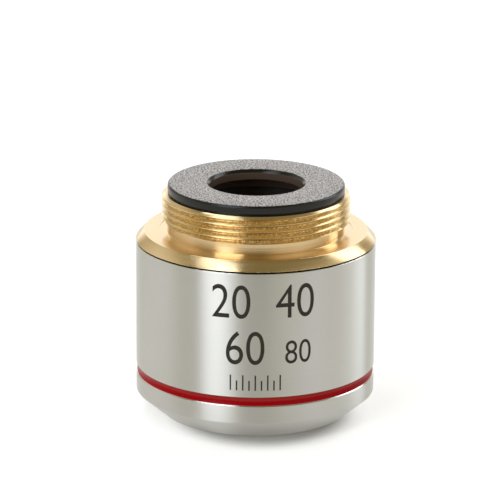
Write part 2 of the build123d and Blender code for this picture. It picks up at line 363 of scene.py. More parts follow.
def make_mount():
    bm = bmesh.new()
    add_thread(bm)
    skirt_bore = SKIRT_RADIUS - SKIRT_WALL
    relief_floor = SHOULDER_HEIGHT - RELIEF_DEPTH
    body = bmesh.new()
    outline = [
        (NECK_RADIUS, neck_top),
        (NECK_RADIUS, relief_floor),
        (RELIEF_RADIUS, relief_floor),
        (RELIEF_RADIUS, SHOULDER_HEIGHT),
        (mount_radius - FLANGE_BEVEL, SHOULDER_HEIGHT),
        (mount_radius, seam_height + FLANGE_LAND),
        (mount_radius, seam_height),
        (SKIRT_RADIUS, seam_height),
        (SKIRT_RADIUS, skirt_bottom),
        (skirt_bore, skirt_bottom),
        (skirt_bore, SEAT_HEIGHT),
        (TUBE_BORE, SEAT_HEIGHT),
        (TUBE_BORE, SPIGOT_FLOOR),
        (SPIGOT_BORE, SPIGOT_FLOOR),
        (SPIGOT_BORE, mount_top),
        (TOP_RING_RADIUS, mount_top),
    ]
    turn(body, add_section(body, outline, closed=False))
    break_edges(body, [(mount_radius - FLANGE_BEVEL, SHOULDER_HEIGHT)], FLANGE_BREAK)
    break_edges(body, [(mount_radius, seam_height + FLANGE_LAND)], LAND_BREAK)
    break_edges(body, [(NECK_RADIUS, relief_floor)], NECK_BREAK)
    joined = bpy.data.meshes.new("mount_body")
    body.to_mesh(joined)
    body.free()
    bm.from_mesh(joined)
    bpy.data.meshes.remove(joined)
    close_flat_ring(bm, neck_top)
    close_flat_ring(bm, mount_top)
    print("open edges left on the mount:", sum(e.is_boundary for e in bm.edges))
    return finish_piece("brass_mount", bm, "bare_brass", "thread_mount")


mount = make_mount()

# %% [markdown]
# ## The black stop
# A black anodised ring screws into the top of the mount and closes it down to a 10 mm hole. Its upper
# edge is bevelled, the hole has a chamfer, and below the hole the part opens into a chamber.

# %% Turn the stop
STOP_THICKNESS = 0.9
STOP_EDGE = 0.2
STOP_COLLAR_INSET = 0.3
SPIGOT_RADIUS = 8.6
HOLE_RADIUS = 5.0
HOLE_BEVEL = 0.35
HOLE_LAND = 1.1
CHAMBER_RADIUS = 7.31
STOP_RIM_BREAK = 0.06
HOLE_BREAK = 0.04
COLLAR_BREAK = 0.04


def make_stop():
    bm = bmesh.new()
    stop_bottom = stop_top - STOP_THICKNESS
    collar = stop_radius - STOP_COLLAR_INSET
    chamber_top = stop_top - HOLE_LAND
    outline = [
        (HOLE_RADIUS, chamber_top),
        (HOLE_RADIUS, stop_top - HOLE_BEVEL),
        (HOLE_RADIUS + HOLE_BEVEL, stop_top),
        (stop_radius - STOP_EDGE, stop_top),
        (stop_radius, stop_top - STOP_EDGE),
        (stop_radius, stop_bottom),
        (collar, stop_bottom),
        (collar, mount_top),
        (SPIGOT_RADIUS, mount_top),
        (SPIGOT_RADIUS, spigot_bottom),
        (CHAMBER_RADIUS, spigot_bottom),
        (CHAMBER_RADIUS, chamber_top),
    ]
    turn(bm, add_section(bm, outline))
    rim = [(stop_radius - STOP_EDGE, stop_top), (stop_radius, stop_top - STOP_EDGE)]
    hole = [(HOLE_RADIUS, stop_top - HOLE_BEVEL), (HOLE_RADIUS + HOLE_BEVEL, stop_top)]
    break_edges(bm, rim, STOP_RIM_BREAK)
    break_edges(bm, hole, HOLE_BREAK)
    break_edges(bm, [(stop_radius, stop_bottom)], COLLAR_BREAK)
    return finish_piece("black_stop", bm, "black_anodised", "rear_stop")


stop = make_stop()

# %% [markdown]
# ## The outer lenses
# Only two glass faces can be seen: the hollow front of the first lens from below, and the flat back of
# the last one down the hole. Both lenses are turned again on finer arcs than the solids need.

# %% Turn the lenses that show
ARC_STEPS = 24
FRONT_LOWER_CURVE = -22.0
FRONT_UPPER_CURVE = -30.0
FRONT_POLISHED_RADIUS = 6.55
FRONT_THICKNESS = 1.8
REAR_LOWER_CURVE = -30.0
REAR_THICKNESS = 0.7


def sag(curvature, radius):
    """How far a spherical face rises above its middle at a radius; negative where it falls away."""
    return math.copysign(abs(curvature) - math.sqrt(curvature**2 - radius**2), curvature)


def add_face_section(bm, middle, curvature, radius):
    """Half a lens face, spun from a vertex around the centre of curvature; returns its outer vertex."""
    pole = bm.verts.new((0, 0, middle * MM))
    if curvature is None:
        rim = bm.verts.new((radius * MM, 0, middle * MM))
        bm.edges.new((pole, rim))
        return rim
    centre = (0, 0, (middle + curvature) * MM)
    angle = -math.asin(radius / curvature)
    spun = bmesh.ops.spin(bm, geom=[pole], cent=centre, axis=(0, 1, 0), angle=angle, steps=ARC_STEPS)
    return next(v for v in spun["geom_last"] if isinstance(v, bmesh.types.BMVert))


def make_lens(name, slot, node, lower, upper):
    """A lens between two faces, each given as height of its middle, curvature and polished radius."""
    bm = bmesh.new()
    low_rim = add_face_section(bm, *lower)
    high_rim = add_face_section(bm, *upper)
    edge = reach(node)[0] * MM
    low_corner = bm.verts.new((edge, 0, low_rim.co.z))
    high_corner = bm.verts.new((edge, 0, high_rim.co.z))
    corners = [low_rim, low_corner, high_corner, high_rim]
    for pair in zip(corners, corners[1:]):
        bm.edges.new(pair)
    turn(bm, [*bm.verts, *bm.edges])
    return finish_piece(name, bm, slot, node)


front_radius, front_edge_height, _ = reach("front_lens")
front_middle = front_edge_height - sag(FRONT_LOWER_CURVE, FRONT_POLISHED_RADIUS)
rear_radius, _, rear_flat = reach("rear_flint")
front_glass = make_lens(
    "front_glass",
    "coated_glass",
    "front_lens",
    (front_middle, FRONT_LOWER_CURVE, FRONT_POLISHED_RADIUS),
    (front_middle + FRONT_THICKNESS, FRONT_UPPER_CURVE, front_radius),
)
rear_glass = make_lens(
    "rear_glass",
    "flint_glass",
    "rear_flint",
    (rear_flat - REAR_THICKNESS, REAR_LOWER_CURVE, rear_radius),
    (rear_flat, None, rear_radius),
)

# %% [markdown]
# ## The marks
# Such a sleeve carries a few figures, burnt dark by a laser. Here they are plain round numbers over a
# short row of graduations. Text is made flat first, cut into narrow strips so that it can follow the
# curve, given a little depth and then wrapped around the sleeve, where its face stands only a few
# thousandths of a millimetre proud, so that it never fights with the plate for the same place.

# %% Lay out the figures
FIGURE_NARROWING = 0.84
FIGURE_THINNING = -0.003
FONT_CAP_HEIGHT = 0.682
MARK_DEPTH = 0.05
MARK_PROUD = 0.003
STRIP_WIDTH = 0.25
# Each figure: its text, the height of its capitals, its left edge and its base line.
FIGURES = [
    ("20", 3.6, -4.65, 13.95),
    ("40", 3.6, 2.15, 13.95),
    ("60", 3.6, -3.1, 8.9),
    ("80", 2.5, 3.2, 8.9),
]
TICK_COUNT = 9
TICK_LEFT = -2.6
TICK_STEP = 0.66
TICK_BASE = 6.0
TICK_HEIGHTS = (1.7, 1.1)
TICK_WIDTH = 0.16


def add_figures(bm, body, cap_height, left, base):
    """Adds flat figures: x runs around the sleeve, y up along it."""
    curve = bpy.data.curves.new("figures", "FONT")
    curve.body = body
    curve.offset = FIGURE_THINNING
    maker = bpy.data.objects.new("figures", curve)
    bpy.context.scene.collection.objects.link(maker)
    evaluated = maker.evaluated_get(bpy.context.evaluated_depsgraph_get())
    flat = bpy.data.meshes.new_from_object(evaluated)
    present = set(bm.verts)
    bm.from_mesh(flat)
    added = [v for v in bm.verts if v not in present]
    size = cap_height / FONT_CAP_HEIGHT * MM
    bmesh.ops.scale(bm, vec=(size * FIGURE_NARROWING, size, 1), verts=added)
    shift = left * MM - min(v.co.x for v in added)
    bmesh.ops.translate(bm, vec=(shift, base * MM, 0), verts=added)
    bpy.data.objects.remove(maker)
    bpy.data.curves.remove(curve)
    bpy.data.meshes.remove(flat)


def add_tick(bm, middle, height):
    """Adds one flat graduation line."""
    grid = bmesh.ops.create_grid(bm, x_segments=1, y_segments=1, size=0.5)
    bmesh.ops.scale(bm, vec=(TICK_WIDTH * MM, height * MM, 1), verts=grid["verts"])
    bmesh.ops.translate(bm, vec=(middle * MM, (TICK_BASE + height / 2) * MM, 0), verts=grid["verts"])


# %% Wrap them around the sleeve
def make_marks():
    bm = bmesh.new()
    for figure in FIGURES:
        add_figures(bm, *figure)
    for k in range(TICK_COUNT):
        add_tick(bm, TICK_LEFT + k * TICK_STEP, TICK_HEIGHTS[k % 2])
    bmesh.ops.remove_doubles(bm, verts=bm.verts, dist=TOUCH * MM)
    left, right = min(v.co.x for v in bm.verts), max(v.co.x for v in bm.verts)
    for k in range(math.ceil(left / MM / STRIP_WIDTH), math.ceil(right / MM / STRIP_WIDTH)):
        everything = [*bm.verts, *bm.edges, *bm.faces]
        seam = (k * STRIP_WIDTH * MM, 0, 0)
        bmesh.ops.bisect_plane(bm, geom=everything, plane_co=seam, plane_no=(1, 0, 0))
    front = bmesh.ops.extrude_face_region(bm, geom=bm.faces[:])["geom"]
    raised = [v for v in front if isinstance(v, bmesh.types.BMVert)]
    bmesh.ops.translate(bm, vec=(0, 0, MARK_DEPTH * MM), verts=raised)
    base = (sleeve_radius + MARK_PROUD - MARK_DEPTH) * MM
    for v in bm.verts:
        angle = v.co.x / (sleeve_radius * MM)
        radius = base + v.co.z
        v.co = (radius * math.sin(angle), -radius * math.cos(angle), v.co.y)
    return finish_piece("sleeve_marks", bm, "black_anodised")


marks = make_marks()

# %% [markdown]
# ## Finishes: shared effects
# Turned metal is covered with fine rings, left by the tool as it fed along. A pattern that depends only
# on the radius and the height gives such rings on a cylinder, a cone and a flat face alike, and a little
# of the angle breaks them up. The group gives a height for bumps and a mask for roughness and colour.

# %% Helpers for nodes
def add_node(tree, kind, **settings):
    """A new node with its properties set."""
    node = tree.nodes.new(kind)
    for key, value in settings.items():
        setattr(node, key, value)
    return node


def compute(tree, operation, first, second=None, third=None):
    """A Math node whose inputs are sockets or plain numbers."""
    node = add_node(tree, "ShaderNodeMath", operation=operation)
    for socket, value in zip(node.inputs, (first, second, third)):
        if value is None:
            continue
        if isinstance(value, bpy.types.NodeSocket):
            tree.links.new(value, socket)
        else:
            socket.default_value = value
    return node.outputs[0]


def new_group(name, inputs, outputs):
    """An empty node group with named inputs and outputs."""
    tree = bpy.data.node_groups.new(name, "ShaderNodeTree")
    for title, kind, value in inputs:
        socket = tree.interface.new_socket(title, in_out="INPUT", socket_type=kind)
        socket.default_value = value
    for title, kind in outputs:
        tree.interface.new_socket(title, in_out="OUTPUT", socket_type=kind)
    return tree, add_node(tree, "NodeGroupInput"), add_node(tree, "NodeGroupOutput")


# %% Build the group that measures a place
def turned_place_group():
    """Distance from the optical axis and height above the table, both in millimetres."""
    tree, _, result = new_group(
        "turned_place", [], [("Radius", "NodeSocketFloat"), ("Height", "NodeSocketFloat")]
    )
    where = add_node(tree, "ShaderNodeTexCoord").outputs["Object"]
    axes = add_node(tree, "ShaderNodeSeparateXYZ")
    tree.links.new(where, axes.inputs[0])
    x, y, z = axes.outputs
    square = compute(tree, "ADD", compute(tree, "MULTIPLY", x, x), compute(tree, "MULTIPLY", y, y))
    tree.links.new(compute(tree, "DIVIDE", compute(tree, "SQRT", square), MM), result.inputs["Radius"])
    tree.links.new(compute(tree, "DIVIDE", z, MM), result.inputs["Height"])
    return tree


def place_group(tree, group, **values):
    """Puts a shared group into a material, with that material's own values."""
    node = add_node(tree, "ShaderNodeGroup", node_tree=group)
    for key, value in values.items():
        node.inputs[key.replace("_", " ")].default_value = value
    return node


def rise(tree, value, start, end):
    """0 before start and 1 past end, with a soft step between them; start may be the larger one."""
    node = add_node(tree, "ShaderNodeMapRange", interpolation_type="SMOOTHSTEP")
    tree.links.new(value, node.inputs["Value"])
    node.inputs["From Min"].default_value = start
    node.inputs["From Max"].default_value = end
    return node.outputs[0]


def add_noise(tree, dimensions, detail, roughness):
    """A noise texture with its fineness set."""
    noise = add_node(tree, "ShaderNodeTexNoise", noise_dimensions=dimensions)
    noise.inputs["Detail"].default_value = detail
    noise.inputs["Roughness"].default_value = roughness
    return noise


turned_place = turned_place_group()
print("group:", turned_place.name, [s.name for s in turned_place.interface.items_tree])

# %% Build the group of turning lines
LINE_MASK = (0.35, 0.65)


def turning_lines_group():
    tree, given, result = new_group(
        "turning_lines",
        [
            ("Lines per millimetre", "NodeSocketFloat", 8.0),
            ("Break up", "NodeSocketFloat", 0.15),
        ],
        [("Height", "NodeSocketFloat"), ("Mask", "NodeSocketFloat")],
    )
    where = add_node(tree, "ShaderNodeTexCoord").outputs["Object"]
    axes = add_node(tree, "ShaderNodeSeparateXYZ")
    tree.links.new(where, axes.inputs[0])
    x, y, _ = axes.outputs
    place = place_group(tree, turned_place)
    density = given.outputs["Lines per millimetre"]
    drift = compute(tree, "DIVIDE", given.outputs["Break up"], MM)
    point = add_node(tree, "ShaderNodeCombineXYZ")
    tree.links.new(compute(tree, "MULTIPLY", place.outputs["Radius"], density), point.inputs[0])
    tree.links.new(compute(tree, "MULTIPLY", x, drift), point.inputs[1])
    tree.links.new(compute(tree, "MULTIPLY", place.outputs["Height"], density), point.inputs[2])
    noise = add_noise(tree, "4D", detail=3.0, roughness=0.6)
    tree.links.new(point.outputs[0], noise.inputs["Vector"])
    tree.links.new(compute(tree, "MULTIPLY", y, drift), noise.inputs["W"])
    noise.inputs["Scale"].default_value = 1.0
    tree.links.new(noise.outputs["Fac"], result.inputs["Height"])
    tree.links.new(rise(tree, noise.outputs["Fac"], *LINE_MASK), result.inputs["Mask"])
    return tree


turning_lines = turning_lines_group()
print("group:", turning_lines.name, [s.name for s in turning_lines.interface.items_tree])

# %% [markdown]
# A blasted or etched surface, such as the black ring's face, is covered with grains instead of rings.
# The second group scatters them with plain noise and gives a mask for colour and a height for bumps.

# %% Build the group of grains
GRAIN_MASK = (0.40, 0.62)


def grain_group():
    tree, given, result = new_group(
        "grain",
        [("Grains per millimetre", "NodeSocketFloat", 8.0), ("Stretch", "NodeSocketFloat", 1.0)],
        [("Height", "NodeSocketFloat"), ("Mask", "NodeSocketFloat")],
    )
    where = add_node(tree, "ShaderNodeTexCoord").outputs["Object"]
    squash = add_node(tree, "ShaderNodeCombineXYZ")
    squash.inputs[0].default_value = squash.inputs[1].default_value = 1.0
    tree.links.new(given.outputs["Stretch"], squash.inputs[2])
    stretched = add_node(tree, "ShaderNodeVectorMath", operation="MULTIPLY")
    tree.links.new(where, stretched.inputs[0])
    tree.links.new(squash.outputs[0], stretched.inputs[1])
    noise = add_noise(tree, "3D", detail=2.0, roughness=0.7)
    tree.links.new(stretched.outputs[0], noise.inputs["Vector"])
    density = compute(tree, "DIVIDE", given.outputs["Grains per millimetre"], MM)
    tree.links.new(density, noise.inputs["Scale"])
    tree.links.new(noise.outputs["Fac"], result.inputs["Height"])
    tree.links.new(rise(tree, noise.outputs["Fac"], *GRAIN_MASK), result.inputs["Mask"])
    return tree


grain = grain_group()
print("group:", grain.name, [s.name for s in grain.interface.items_tree])

# %% [markdown]
# ## Finishes: the materials
# Each metal is a Principled shader with its own colour. Turned metal scatters light across its rings far
# more than along them, so a lamp is drawn out up and down the part and keeps crisp edges from side to
# side. The shader's anisotropy does that, with the ring direction taken from the optical axis.

# %% Helpers for materials
def new_material(name):
    """A material with its node tree and its Principled shader."""
    print("finish:", name)
    material = bpy.data.materials.new(name)
    material.use_nodes = True
    tree = material.node_tree
    return material, tree, tree.nodes["Principled BSDF"]


def blend(tree, share, first, second):
    """Mixes two colours or sockets by a mask."""
    node = add_node(tree, "ShaderNodeMix", data_type="RGBA")
    tree.links.new(share, node.inputs["Factor"])
    for name, value in (("A", first), ("B", second)):
        if isinstance(value, bpy.types.NodeSocket):
            tree.links.new(value, node.inputs[name])
        else:
            node.inputs[name].default_value = (*value, 1)
    return node.outputs["Result"]


def spread(tree, share, low, high):
    """Turns a mask into a number between two limits, each a plain number or a socket."""
    node = add_node(tree, "ShaderNodeMix", data_type="FLOAT")
    tree.links.new(share, node.inputs["Factor"])
    for name, value in (("A", low), ("B", high)):
        if isinstance(value, bpy.types.NodeSocket):
            tree.links.new(value, node.inputs[name])
        else:
            node.inputs[name].default_value = value
    return node.outputs["Result"]


def add_relief(tree, shader, height, distance, below=None):
    """Bumps of a height in millimetres on the shader's normal."""
    relief = add_node(tree, "ShaderNodeBump")
    relief.inputs["Strength"].default_value = 1.0
    relief.inputs["Distance"].default_value = distance * MM
    tree.links.new(height, relief.inputs["Height"])
    if below is not None:
        tree.links.new(below, relief.inputs["Normal"])
    tree.links.new(relief.outputs[0], shader.inputs["Normal"])
    return relief.outputs[0]


def set_turned(tree, shader, anisotropy):
    """Lets the shader scatter across the turning rings, which run around the optical axis."""
    shader.inputs["Metallic"].default_value = 1.0
    shader.inputs["Anisotropic"].default_value = anisotropy
    shader.inputs["Anisotropic Rotation"].default_value = 0.25
    ring_direction = add_node(tree, "ShaderNodeTangent", direction_type="RADIAL", axis="Z")
    tree.links.new(ring_direction.outputs[0], shader.inputs["Tangent"])


# %% [markdown]
# The sleeve is plated and then brushed to a satin on the lathe. The lines are far too fine to be seen one
# by one, so a fine pattern only varies the roughness a little. The corners that were cut last stay
# brighter, and the gap below the flange gets a ragged dark line of painted shade. Both are placed by
# masks of the radius and the height.

# %% Satin plate
PLATE_COLOUR = (0.68, 0.67, 0.635)
PLATE_PALER = 1.03
PLATE_ROUGHNESS = (0.37, 0.42)
CUT_ROUGHNESS = 0.18
CUT_RADIUS = (sleeve_radius - 0.005, sleeve_radius - 0.03)
CUT_ABOVE = (NOSE_HEIGHT + 0.2, NOSE_HEIGHT + 0.3)
# The seam line is painted shade: the gap below the flange is darkened in colour.
SEAM_SHADE_COLOUR = (0.060, 0.038, 0.020)
SEAM_RAGGED = 0.12
SEAM_SOFTNESS = 0.02


def seam_shade(tree, place, top):
    """1 around the gap below the flange, up to a ragged edge, where the seam's painted shade goes."""
    ragged = place_group(tree, grain, Grains_per_millimetre=3.0, Stretch=0.3).outputs["Height"]
    height = compute(tree, "MULTIPLY_ADD", ragged, SEAM_RAGGED, place.outputs["Height"])
    gap_floor = seam_height - SEAM_GAP
    edge = top + SEAM_RAGGED / 2
    above = rise(tree, height, gap_floor - SEAM_SOFTNESS, gap_floor)
    below = rise(tree, height, edge + SEAM_SOFTNESS / 2, edge - SEAM_SOFTNESS / 2)
    return compute(tree, "MULTIPLY", above, below)


def make_satin_plate():
    material, tree, shader = new_material("satin_plate_finish")
    set_turned(tree, shader, anisotropy=1.0)
    place = place_group(tree, turned_place)
    radius, height = place.outputs["Radius"], place.outputs["Height"]
    # Painted shade in the gap below the flange.
    seam_shaded = seam_shade(tree, place, seam_height)
    cut = rise(tree, radius, *CUT_RADIUS)
    cut = compute(tree, "MULTIPLY", cut, rise(tree, height, *CUT_ABOVE))
    lines = place_group(tree, turning_lines, Lines_per_millimetre=16.0, Break_up=0.12)
    paler = tuple(c * PLATE_PALER for c in PLATE_COLOUR)
    colour = blend(tree, lines.outputs["Mask"], PLATE_COLOUR, paler)
    tree.links.new(blend(tree, seam_shaded, colour, SEAM_SHADE_COLOUR), shader.inputs["Base Color"])
    roughness = spread(tree, lines.outputs["Mask"], *PLATE_ROUGHNESS)
    tree.links.new(spread(tree, cut, roughness, CUT_ROUGHNESS), shader.inputs["Roughness"])
    add_relief(tree, shader, lines.outputs["Height"], distance=0.00008)
    return material


satin_plate = make_satin_plate()

# %% [markdown]
# The brass is bare. Handling polishes the thread's crests and leaves its valleys brown and grainy from
# the cutting tool, and the bores are painted black so that they throw no stray light into the image. The
# flange keeps soft rings a few tenths of a millimetre wide, the painted shade of the seam climbs a little
# over its edge, and the last groove has a row of painted glints where the tool was pulled out and
# chattered. All of that depends on the distance from the axis and the height, so masks of those two place
# it.

# %% Bare brass
BRASS_COLOUR = (0.77, 0.585, 0.335)
BRASS_PALER = 1.05
CREST_COLOUR = (0.78, 0.595, 0.32)
VALLEY_COLOUR = (0.83, 0.64, 0.35)
DEEP_COLOUR = (0.57, 0.39, 0.15)
BORE_BLACK = (0.020, 0.014, 0.011)
BORE_EDGE = (8.85, 8.95)
THREAD_FOOT = (21.1, 21.3)
THREAD_HEAD = (24.0, 23.7)
CREST_EDGE = (9.96, 10.07)
RING_ROUGHNESS = (0.17, 0.25)
VALLEY_ROUGHNESS = 0.24
CREST_ROUGHNESS = 0.20
BORE_ROUGHNESS = 0.6
# The chatter dots are painted glints, paler and brighter than the brass.
CHATTER_GLINT_COLOUR = (1.0, 0.92, 0.72)
SPECK_HEIGHT = 21.44
SPECK_REACH = (1.7, 1.3)
SPECK_LINE = (0.07, 0.04)


def painted_chatter_glints(tree, height):
    """A short row of painted glints, bright dots in the last groove, at the front only."""
    axes = add_node(tree, "ShaderNodeSeparateXYZ")
    tree.links.new(add_node(tree, "ShaderNodeTexCoord").outputs["Object"], axes.inputs[0])
    x, y, _ = axes.outputs
    aside = compute(tree, "DIVIDE", compute(tree, "ABSOLUTE", x), MM)
    off_line = compute(tree, "ABSOLUTE", compute(tree, "SUBTRACT", height, SPECK_HEIGHT))
    dots = place_group(tree, grain, Grains_per_millimetre=4.0, Stretch=0.1).outputs["Mask"]
    near = rise(tree, aside, *SPECK_REACH)
    here = compute(tree, "MULTIPLY", near, rise(tree, off_line, *SPECK_LINE))
    in_front = compute(tree, "LESS_THAN", y, 0.0)
    return compute(tree, "MULTIPLY", compute(tree, "MULTIPLY", here, in_front), dots)


def make_bare_brass():
    material, tree, shader = new_material("bare_brass_finish")
    set_turned(tree, shader, anisotropy=0.85)
    place = place_group(tree, turned_place)
    radius, height = place.outputs["Radius"], place.outputs["Height"]
    lines = place_group(tree, turning_lines, Lines_per_millimetre=12.0, Break_up=0.15)
    grains = place_group(tree, grain, Grains_per_millimetre=4.0, Stretch=2.2)
    above_foot = rise(tree, height, *THREAD_FOOT)
    threaded = compute(tree, "MULTIPLY", above_foot, rise(tree, height, *THREAD_HEAD))
    crest = rise(tree, radius, *CREST_EDGE)
    valley = compute(tree, "MULTIPLY", threaded, compute(tree, "SUBTRACT", 1.0, crest))
    bare = compute(tree, "MULTIPLY", threaded, crest)
    outside = rise(tree, radius, *BORE_EDGE)

    paler = tuple(c * BRASS_PALER for c in BRASS_COLOUR)
    colour = blend(tree, lines.outputs["Mask"], BRASS_COLOUR, paler)
    rough_cut = blend(tree, grains.outputs["Mask"], DEEP_COLOUR, VALLEY_COLOUR)
    colour = blend(tree, valley, colour, rough_cut)
    colour = blend(tree, bare, colour, CREST_COLOUR)
    # Painted glints on the chatter marks in the last groove.
    colour = blend(tree, painted_chatter_glints(tree, height), colour, CHATTER_GLINT_COLOUR)
    # Painted shade of the seam, reaching a little over the flange's edge.
    colour = blend(tree, seam_shade(tree, place, seam_height + FLANGE_LAND / 2), colour, SEAM_SHADE_COLOUR)
    tree.links.new(blend(tree, outside, BORE_BLACK, colour), shader.inputs["Base Color"])
    tree.links.new(outside, shader.inputs["Metallic"])

    rings = place_group(tree, turning_lines, Lines_per_millimetre=2.5, Break_up=0.03)
    roughness = spread(tree, rings.outputs["Mask"], *RING_ROUGHNESS)
    roughness = spread(tree, valley, roughness, VALLEY_ROUGHNESS)
    roughness = spread(tree, bare, roughness, CREST_ROUGHNESS)
    tree.links.new(spread(tree, outside, BORE_ROUGHNESS, roughness), shader.inputs["Roughness"])
    first = add_relief(tree, shader, rings.outputs["Height"], distance=0.003)
    chatter = compute(tree, "MULTIPLY", grains.outputs["Height"], valley)
    add_relief(tree, shader, chatter, distance=0.02, below=first)
    return material


bare_brass = make_bare_brass()

# %% [markdown]
# The stop is black anodised all over. Its top face is blasted, and its grains are painted pale grey: a
# painted sheen that stands for the light the face reflects at a grazing angle. Its rim and its countersink
# were turned afterwards and stay smooth and dark. Below the countersink the bore and the chamber are
# painted a lighter warm brown, painted light that stands for light reaching down the hole.

# %% Black anodising
ANODISED_COLOUR = (0.007, 0.0065, 0.006)
# Pale grains on the top face: a painted sheen of its grazing reflection.
FACE_SHEEN_PALE = (0.66, 0.61, 0.60)
# The lighter brown down the hole is painted light.
HOLE_LIGHT_BROWN = (0.105, 0.072, 0.055)
FACE_EDGE = (stop_top - 0.06, stop_top - 0.01)
DEEP_EDGE = (stop_top - HOLE_BEVEL + 0.02, stop_top - HOLE_BEVEL - 0.02)
WITHIN_EDGE = (9.05, 8.95)
RIM_ROUGHNESS = 0.24
HOLE_ROUGHNESS = 0.17
FACE_ROUGHNESS = 0.42


def make_black_anodised():
    material, tree, shader = new_material("black_anodised_finish")
    place = place_group(tree, turned_place)
    radius, height = place.outputs["Radius"], place.outputs["Height"]
    face = rise(tree, height, *FACE_EDGE)
    within = rise(tree, radius, *WITHIN_EDGE)
    deep = compute(tree, "MULTIPLY", rise(tree, height, *DEEP_EDGE), within)
    grains = place_group(tree, grain, Grains_per_millimetre=5.6, Stretch=1.0)
    # The face's pale grains are a painted sheen.
    sheen_grains = compute(tree, "MULTIPLY", face, grains.outputs["Mask"])
    # Painted light down the hole: bore and chamber lighter than the black.
    black = blend(tree, deep, ANODISED_COLOUR, HOLE_LIGHT_BROWN)
    tree.links.new(blend(tree, sheen_grains, black, FACE_SHEEN_PALE), shader.inputs["Base Color"])
    smooth = spread(tree, within, RIM_ROUGHNESS, HOLE_ROUGHNESS)
    tree.links.new(spread(tree, face, smooth, FACE_ROUGHNESS), shader.inputs["Roughness"])
    shader.inputs["IOR"].default_value = 1.42
    blasted = compute(tree, "MULTIPLY", face, grains.outputs["Height"])
    add_relief(tree, shader, blasted, distance=0.03)
    return material


black_anodised = make_black_anodised()

# %% [markdown]
# The other finishes are simple ones. They differ only in their values and in which shared pattern varies
# them, so one helper makes them all. The enamel gets one thing more: its upper half, which leans down
# towards the bright table, is painted a paler red as a painted reflection, and its lower half stays deep
# red.

# %% Helper for the simple finishes
def plain_finish(name, colour, paler, roughness, bump, pattern, **values):
    """A finish whose colour and roughness vary a little with one of the shared patterns."""
    material, tree, shader = new_material(name)
    pattern = place_group(tree, pattern, **values)
    mask = pattern.outputs["Mask"]
    tree.links.new(blend(tree, mask, colour, paler), shader.inputs["Base Color"])
    tree.links.new(spread(tree, mask, roughness * 0.9, roughness * 1.1), shader.inputs["Roughness"])
    add_relief(tree, shader, pattern.outputs["Height"], bump)
    return material, shader


# %% Red enamel
# The paler upper red is a painted reflection of the bright table.
PAINTED_ENAMEL_REFLECTION = (0.41, 0.027, 0.024)
ENAMEL_EDGE = 0.1


def make_red_enamel():
    material, shader = plain_finish(
        "red_enamel_finish",
        colour=(0.36, 0.0005, 0.005),
        paler=(0.37, 0.0006, 0.005),
        roughness=0.25,
        bump=0.0006,
        pattern=grain,
        Grains_per_millimetre=3.0,
    )
    shader.inputs["IOR"].default_value = 1.16
    tree = material.node_tree
    middle = (band_bottom + band_top) / 2
    height = place_group(tree, turned_place).outputs["Height"]
    # The upper half gets the painted reflection.
    upper_half = rise(tree, height, middle - ENAMEL_EDGE, middle + ENAMEL_EDGE)
    deep_red = shader.inputs["Base Color"].links[0].from_socket
    tree.links.new(blend(tree, upper_half, deep_red, PAINTED_ENAMEL_REFLECTION), shader.inputs["Base Color"])
    return material


red_enamel = make_red_enamel()

# %% Burnt marks, blackened brass and glass
ink, shader = plain_finish(
    "ink_finish",
    colour=(0.030, 0.025, 0.019),
    paler=(0.042, 0.036, 0.029),
    roughness=0.55,
    bump=0.004,
    pattern=grain,
    Grains_per_millimetre=6.0,
)
shader.inputs["IOR"].default_value = 1.3
blackened_brass, shader = plain_finish(
    "blackened_brass_finish",
    colour=(0.060, 0.045, 0.037),
    paler=(0.090, 0.068, 0.057),
    roughness=0.5,
    bump=0.0008,
    pattern=turning_lines,
    Lines_per_millimetre=7.0,
    Break_up=0.2,
)
clear_glass, shader = plain_finish(
    "clear_glass_finish",
    colour=(0.93, 0.965, 0.94),
    paler=(0.96, 0.98, 0.96),
    roughness=0.02,
    bump=0.00001,
    pattern=grain,
    Grains_per_millimetre=0.5,
)
shader.inputs["Transmission Weight"].default_value = 1.0

# %% [markdown]
# The frame's record names a slot for every part. A table turns slots into finishes, the rebuilt pieces
# take theirs by it, and so do the parts inside that are kept as the solids made them. Cells, spacers and
# rings are all blackened, so only the parts that differ are listed.

# %% Give every part its finish
FINISH_OF_SLOT = {
    "satin_plate": satin_plate,
    "red_enamel": red_enamel,
    "bare_brass": bare_brass,
    "black_anodised": black_anodised,
    "blackened_brass": blackened_brass,
    "coated_glass": clear_glass,
    "crown_glass": clear_glass,
    "flint_glass": clear_glass,
}
SLOT_OF_NODE = {
    "front_lens": "coated_glass",
    "middle_flint": "flint_glass",
    "middle_crown": "crown_glass",
    "field_lens": "flint_glass",
    "rear_crown": "crown_glass",
    "rear_flint": "flint_glass",
    "parfocal_shim": "bare_brass",
}
for piece in (sleeve, band, mount, stop, front_glass, rear_glass):
    piece.data.materials.append(FINISH_OF_SLOT[piece["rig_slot"]])
marks.data.materials.append(ink)
for name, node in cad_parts.items():
    finish = FINISH_OF_SLOT[SLOT_OF_NODE.get(name, "blackened_brass")]
    if node.material_slots:
        node.material_slots[0].material = finish
    else:
        node.data.materials.append(finish)
print("solids with a finish:", len(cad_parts))

# %% [markdown]
# ## The camera
# The picture was taken with a long lens from a little above. The camera stands at the distance and
# height that make the rims' ellipses come out as they do there. Angles are in radians, and the small yaw
# and roll are those of a camera that wasn't quite level.

# %% Set the camera
AIM_HEIGHT = 12.0
CAMERA_DISTANCE = 387.27
CAMERA_ELEVATION = 0.3072
PITCH = 0.2934
YAW = 0.0017
ROLL = 0.0066
FOCAL_PIXELS = 3580.1
IMAGE_WIDTH = 500

